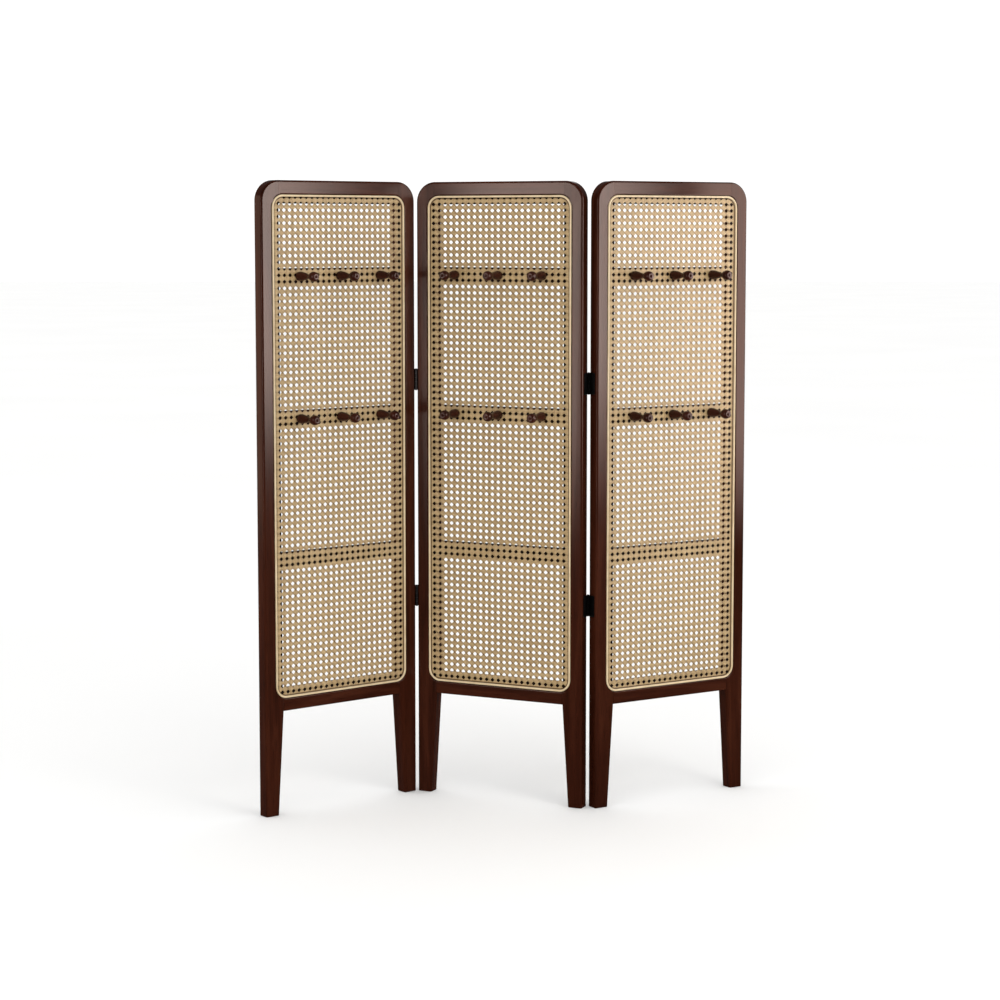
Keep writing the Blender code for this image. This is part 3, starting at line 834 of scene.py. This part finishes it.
def bead():
    """A round reed: its section is carried up the sides and spun round the corners."""
    bm = bmesh.new()
    bmesh.ops.create_circle(bm, segments=BEAD_SIDES, radius=BEAD_RADIUS, cap_ends=False)
    x, low = SHEET_HALF, SHEET_LOW + SHEET_CORNER
    high = SHEET_HIGH - SHEET_CORNER
    bmesh.ops.translate(bm, verts=bm.verts, vec=(x, BEAD_DEPTH, low))
    ring = list(bm.edges)
    inner = SHEET_HALF - SHEET_CORNER
    runs = (((0, 0, high - low), (inner, 0, high)), ((-2 * inner, 0, 0), (-inner, 0, high)),
            ((0, 0, low - high), (-inner, 0, low)), ((2 * inner, 0, 0), (inner, 0, low)))
    for straight, corner in runs:
        swept = bmesh.ops.extrude_edge_only(bm, edges=ring)["geom"]
        bmesh.ops.translate(bm, vec=straight,
                            verts=[g for g in swept if isinstance(g, bmesh.types.BMVert)])
        ring = [g for g in swept if isinstance(g, bmesh.types.BMEdge)]
        turned = bmesh.ops.spin(bm, geom=ring, cent=(corner[0], BEAD_DEPTH, corner[2]),
                                axis=(0, -1, 0), angle=math.pi / 2, steps=BEAD_CORNER_STEPS)
        ring = [g for g in turned["geom_last"] if isinstance(g, bmesh.types.BMEdge)]
    bmesh.ops.remove_doubles(bm, verts=bm.verts, dist=0.00002)
    bmesh.ops.recalc_face_normals(bm, faces=list(bm.faces))
    return bm


def cane_bead(panel):
    """One panel's bead, in one tone of its own."""
    node = f"{panel}_cane_spline"
    obj = finish_piece(bead(), f"{panel}_cane_bead", f"{panel}_panel", BEAD_REED,
                       [node], MATRICES[panel], grain_along(2, node), even=False)
    obj.data.shade_smooth()
    pick = random.Random(node)
    store(obj.data, "tone", "FLOAT", [pick.uniform(*BEAD_TONES)] * len(obj.data.vertices))


# ---- Pegs ----------------------------------------------------------------------------------

def turned(profile, steps):
    """A closed turned piece round Z from (height, radius) points, from one end to the other."""
    bm = bmesh.new()
    outline = [(profile[0][0], 0.0), *profile, (profile[-1][0], 0.0)]
    verts = [bm.verts.new((radius, 0, height)) for height, radius in outline]
    edges = [bm.edges.new(pair) for pair in zip(verts, verts[1:])]
    bmesh.ops.spin(bm, geom=verts + edges, cent=(0, 0, 0), axis=(0, 0, 1), angle=2 * math.pi,
                   steps=steps, use_merge=True)
    bmesh.ops.remove_doubles(bm, verts=bm.verts, dist=0.000002)
    bmesh.ops.recalc_face_normals(bm, faces=list(bm.faces))
    return bm


def pegs(panel):
    """The six turned pegs of one panel."""
    matrix = MATRICES[panel]
    for row in LEVELS:
        for number in (1, 2, 3):
            node = f"{panel}_{row}_peg_{number}"
            low, high = local_box(node, matrix)
            bm = turned(PEG_PROFILE, PEG_STEPS)
            bmesh.ops.rotate(bm, verts=bm.verts, matrix=Matrix.Rotation(math.pi / 2, 3, "X"))
            base = CANE[0].y - CLEARANCE
            bmesh.ops.translate(bm, verts=bm.verts,
                                vec=((low.x + high.x) / 2, base, (low.z + high.z) / 2))
            finish_piece(bm, f"{node}_turned", f"{panel}_panel", PEG_WOOD, [node],
                         matrix, grain_along(1, node), even=False).data.shade_smooth()


# ---- Hinges --------------------------------------------------------------------------------

def add_mesh(whole, bm):
    """Add one bmesh to another."""
    mesh = bpy.data.meshes.new("spare")
    bm.to_mesh(mesh)
    bm.free()
    whole.from_mesh(mesh)
    bpy.data.meshes.remove(mesh)


def knuckle_tube(low, high, outer, inner):
    """One knuckle: a tube with eased ends, spun round the pin."""
    bm = bmesh.new()
    c = KNUCKLE_CHAMFER
    outline = [(inner, low), (outer - c, low), (outer, low + c), (outer, high - c),
               (outer - c, high), (inner, high)]
    verts = [bm.verts.new((r, 0, z)) for r, z in outline]
    edges = [bm.edges.new(pair) for pair in zip(verts, verts[1:] + verts[:1])]
    bmesh.ops.spin(bm, geom=verts + edges, cent=(0, 0, 0), axis=(0, 0, 1), angle=2 * math.pi,
                   steps=KNUCKLE_STEPS, use_merge=True)
    bmesh.ops.recalc_face_normals(bm, faces=list(bm.faces))
    return bm


def leaf_plate(x, thickness, near, far, half):
    """A hinge leaf's plate in the plane of the stile's edge, with its far corners rounded."""
    bm = bmesh.new()
    bmesh.ops.create_cube(bm, size=1)
    bmesh.ops.scale(bm, vec=(thickness, abs(far - near), 2 * half), verts=bm.verts)
    bmesh.ops.translate(bm, vec=(x, (near + far) / 2, 0), verts=bm.verts)
    corners = [e for e in bm.edges if all(is_at(v.co.y, far) for v in e.verts)
               and abs(e.verts[0].co.x - e.verts[1].co.x) > thickness / 2]
    bmesh.ops.bevel(bm, geom=corners, offset=LEAF_CORNER, segments=LEAF_CORNER_STEPS,
                    profile=0.5, affect="EDGES", material=-1)
    return bm


def screw_head(place, side):
    """A flat countersunk head with a round recess, lying in the leaf."""
    bm = bmesh.new()
    bmesh.ops.create_cone(bm, cap_ends=True, segments=SCREW_STEPS,
                          radius1=SCREW_HEAD * SCREW_SHANK, radius2=SCREW_HEAD,
                          depth=SCREW_DEPTH)
    top = max(bm.faces, key=lambda f: f.calc_center_median().z)
    for thickness, depth in SCREW_RINGS:
        bmesh.ops.inset_region(bm, faces=[top], thickness=thickness, depth=depth)
    turn = UP.rotation_difference(Vector((side, 0, 0))).to_matrix().to_4x4()
    bmesh.ops.transform(bm, verts=bm.verts, matrix=Matrix.Translation(place) @ turn)
    return bm


def hinge_frame(panel, pin, back):
    """A hinge's own frame on a panel: Z on the pin, Y from the pin along the leaf."""
    turn = Matrix.Rotation(math.pi, 4, "Z") if back else Matrix.Identity(4)
    return Matrix.Translation(pin) @ MATRICES[panel].to_3x3().to_4x4() @ turn


def add_knuckles(whole, role, half, radius, middle, thickness):
    """Every other knuckle, each held to the leaf's plate by a short tab."""
    pitch = 2 * half / KNUCKLES
    for index in range(0 if role == "outer" else 1, KNUCKLES, 2):
        start = index * pitch - half
        add_mesh(whole, knuckle_tube(start + CLEARANCE / 2, start + pitch - CLEARANCE / 2, radius,
                                     PIN_RADIUS + CLEARANCE))
        tab = bmesh.new()
        bmesh.ops.create_cube(tab, size=1)
        bmesh.ops.scale(tab, verts=tab.verts,
                        vec=(thickness, radius + 2 * LEAF_GAP, pitch - CLEARANCE))
        bmesh.ops.translate(tab, verts=tab.verts,
                            vec=(middle, radius / 2 + LEAF_GAP, start + pitch / 2))
        add_mesh(whole, tab)


def hinge_leaf(node, panel, home, role, half):
    """A leaf with its knuckles and its three screws; half is half the hinge's length."""
    low, high = local_box(f"{node}_{role}_leaf", home)
    points = [home.inverted() @ v.co for v in frame["nodes"][f"{node}_{role}_leaf"].data.vertices]
    edge = [p.x for p in points if p.y > high.y - 1e-5]
    middle, thickness = (min(edge) + max(edge)) / 2, max(edge) - min(edge)
    radius = -low.y
    whole = leaf_plate(middle, thickness, radius + LEAF_GAP, high.y, half)
    add_knuckles(whole, role, half, radius, middle, thickness)
    finish_piece(whole, f"{node}_{role}_leaf_finished", f"{panel}_panel", STEEL,
                 [f"{node}_{role}_leaf"], home)
    screws = bmesh.new()
    outward = 1 if middle < 0 else -1
    for height, stagger in SCREW_PLACES:
        place = (middle + outward * (thickness / 2 - SCREW_SINK),
                 high.y / 2 + stagger * (high.y - radius) / 8, height * 2 * half / 3)
        add_mesh(screws, screw_head(place, outward))
    finish_piece(screws, f"{node}_{role}_screws", f"{panel}_panel", STEEL, [],
                 home)


def hinge(joint, level, outer, back):
    """Two leaves, a pin and six screws, where the joint's axis meets this level."""
    node = f"{joint['name'].split('_')[0]}_{level}_hinge"
    pin_low, pin_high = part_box(f"{node}_pin")
    pin = (pin_low + pin_high) / 2
    top = pin_high.z - pin.z
    for role, panel in (("outer", outer), ("middle", "middle")):
        hinge_leaf(node, panel, hinge_frame(panel, pin, back), role, top - PIN_HEAD)
    rim = (pin_high.x - pin_low.x) / 2
    head = [(top - PIN_HEAD, PIN_RADIUS), (top - PIN_HEAD, rim)]
    head += [(top - down, rim * share) for down, share in PIN_DOME]
    profile = [(-height, radius) for height, radius in reversed(head)] + head
    finish_piece(turned(profile, KNUCKLE_STEPS), f"{node}_pin_finished", "middle_panel", STEEL,
                 [f"{node}_pin"], hinge_frame("middle", pin, back))


def hinges():
    """Both hinges of every joint, on the face of the middle panel that the joint's axis is at."""
    for joint in frame["joints"]:
        outer = joint["child"].split("_")[0]
        place = MATRICES["middle"].inverted() @ Vector(joint["pos_m"])
        for level in LEVELS:
            hinge(joint, level, outer, place.y > THICKNESS / 2)


# ---- Studio --------------------------------------------------------------------------------

def floor():
    """A floor that glossy surfaces don't see."""
    bm = bmesh.new()
    bmesh.ops.create_grid(bm, x_segments=1, y_segments=1, size=FLOOR_SIZE)
    mesh = bpy.data.meshes.new("floor")
    bm.to_mesh(mesh)
    bm.free()
    mesh.materials.append(floor_material())
    obj = bpy.data.objects.new("floor", mesh)
    bpy.context.scene.collection.objects.link(obj)
    obj.visible_glossy = False


def soften_edges(light, fade):
    """Fade a light out towards its edges."""
    light.use_nodes = True
    nodes, links = light.node_tree.nodes, light.node_tree.links
    split = nodes.new("ShaderNodeSeparateXYZ")
    links.new(nodes.new("ShaderNodeNewGeometry").outputs["Parametric"], split.inputs[0])
    strength = None
    for axis, share in zip("XY", fade):
        inward = arithmetic(nodes, links, "PINGPONG", split.outputs[axis], 0.5)
        node = nodes.new("ShaderNodeMapRange")
        node.interpolation_type = "SMOOTHSTEP"
        node.inputs["From Max"].default_value = share
        links.new(inward, node.inputs["Value"])
        side = node.outputs["Result"]
        strength = arithmetic(nodes, links, "MULTIPLY", strength, side) if strength else side
    links.new(strength, nodes["Emission"].inputs["Strength"])


def area_light(name, place, aim, size, brightness, colour, fade=None):
    """A soft light of the given size and brightness.

    With a fade, the share of the size over which each pair of its edges softens, it is a
    card, which only shows in glossy surfaces.
    """
    data = bpy.data.lights.new(name, "AREA")
    data.shape = "RECTANGLE"
    data.size, data.size_y = size
    data.energy = brightness * math.pi * size[0] * size[1]
    data.color = colour
    obj = bpy.data.objects.new(name, data)
    obj.location = place
    obj.rotation_euler = (Vector(aim) - Vector(place)).to_track_quat("-Z", "Y").to_euler()
    obj.visible_diffuse = not fade
    obj.visible_glossy = bool(fade)
    if fade:
        soften_edges(data, fade)
    bpy.context.scene.collection.objects.link(obj)


def surroundings():
    """A white studio that glossy surfaces see dimmer than the eye does."""
    world = bpy.data.worlds.new("studio")
    world.use_nodes = True
    nodes, links = world.node_tree.nodes, world.node_tree.links
    path = nodes.new("ShaderNodeLightPath")
    strength = spread(nodes, links, path.outputs["Is Glossy Ray"], 0.0, 1.0, SKY, GLOSSY_SKY)
    background = nodes["Background"]
    background.inputs["Color"].default_value = (1.0, 1.0, 1.0, 1.0)
    links.new(strength, background.inputs["Strength"])
    bpy.context.scene.world = world


def studio():
    """The white floor and room, a window and the cards."""
    floor()
    surroundings()
    area_light("window", (2.0, -2.2, 2.6), (0, 0, 0.9), (1.0, 1.0), 5.0, (1, 0.97, 0.93))
    for name, (place, size, brightness, colour, fade) in CARDS.items():
        area_light(name, place, (0, place[1], place[2]), size, brightness, colour, fade)
    area_light("back_card", (0.6, 3.4, 2.0), (0, 0, 0.9), (2.8, 1.6), 0.9, WHITE, (0.4, 0.4))
    bpy.context.scene.view_settings.view_transform = "Standard"


def camera():
    """The camera that shows the whole screen from the front."""
    data = bpy.data.cameras.new("camera")
    data.lens = CAMERA_LENS
    data.shift_y = CAMERA_SHIFT
    obj = bpy.data.objects.new("camera", data)
    obj.location = CAMERA_PLACE
    obj.rotation_euler = (math.radians(90 - CAMERA_PITCH), 0, math.radians(CAMERA_YAW))
    bpy.context.scene.collection.objects.link(obj)
    bpy.context.scene.camera = obj


for panel_name in PANELS:
    frame_members(panel_name)
    cane_sheet(panel_name)
    cane_bead(panel_name)
    pegs(panel_name)
hinges()
studio()
camera()
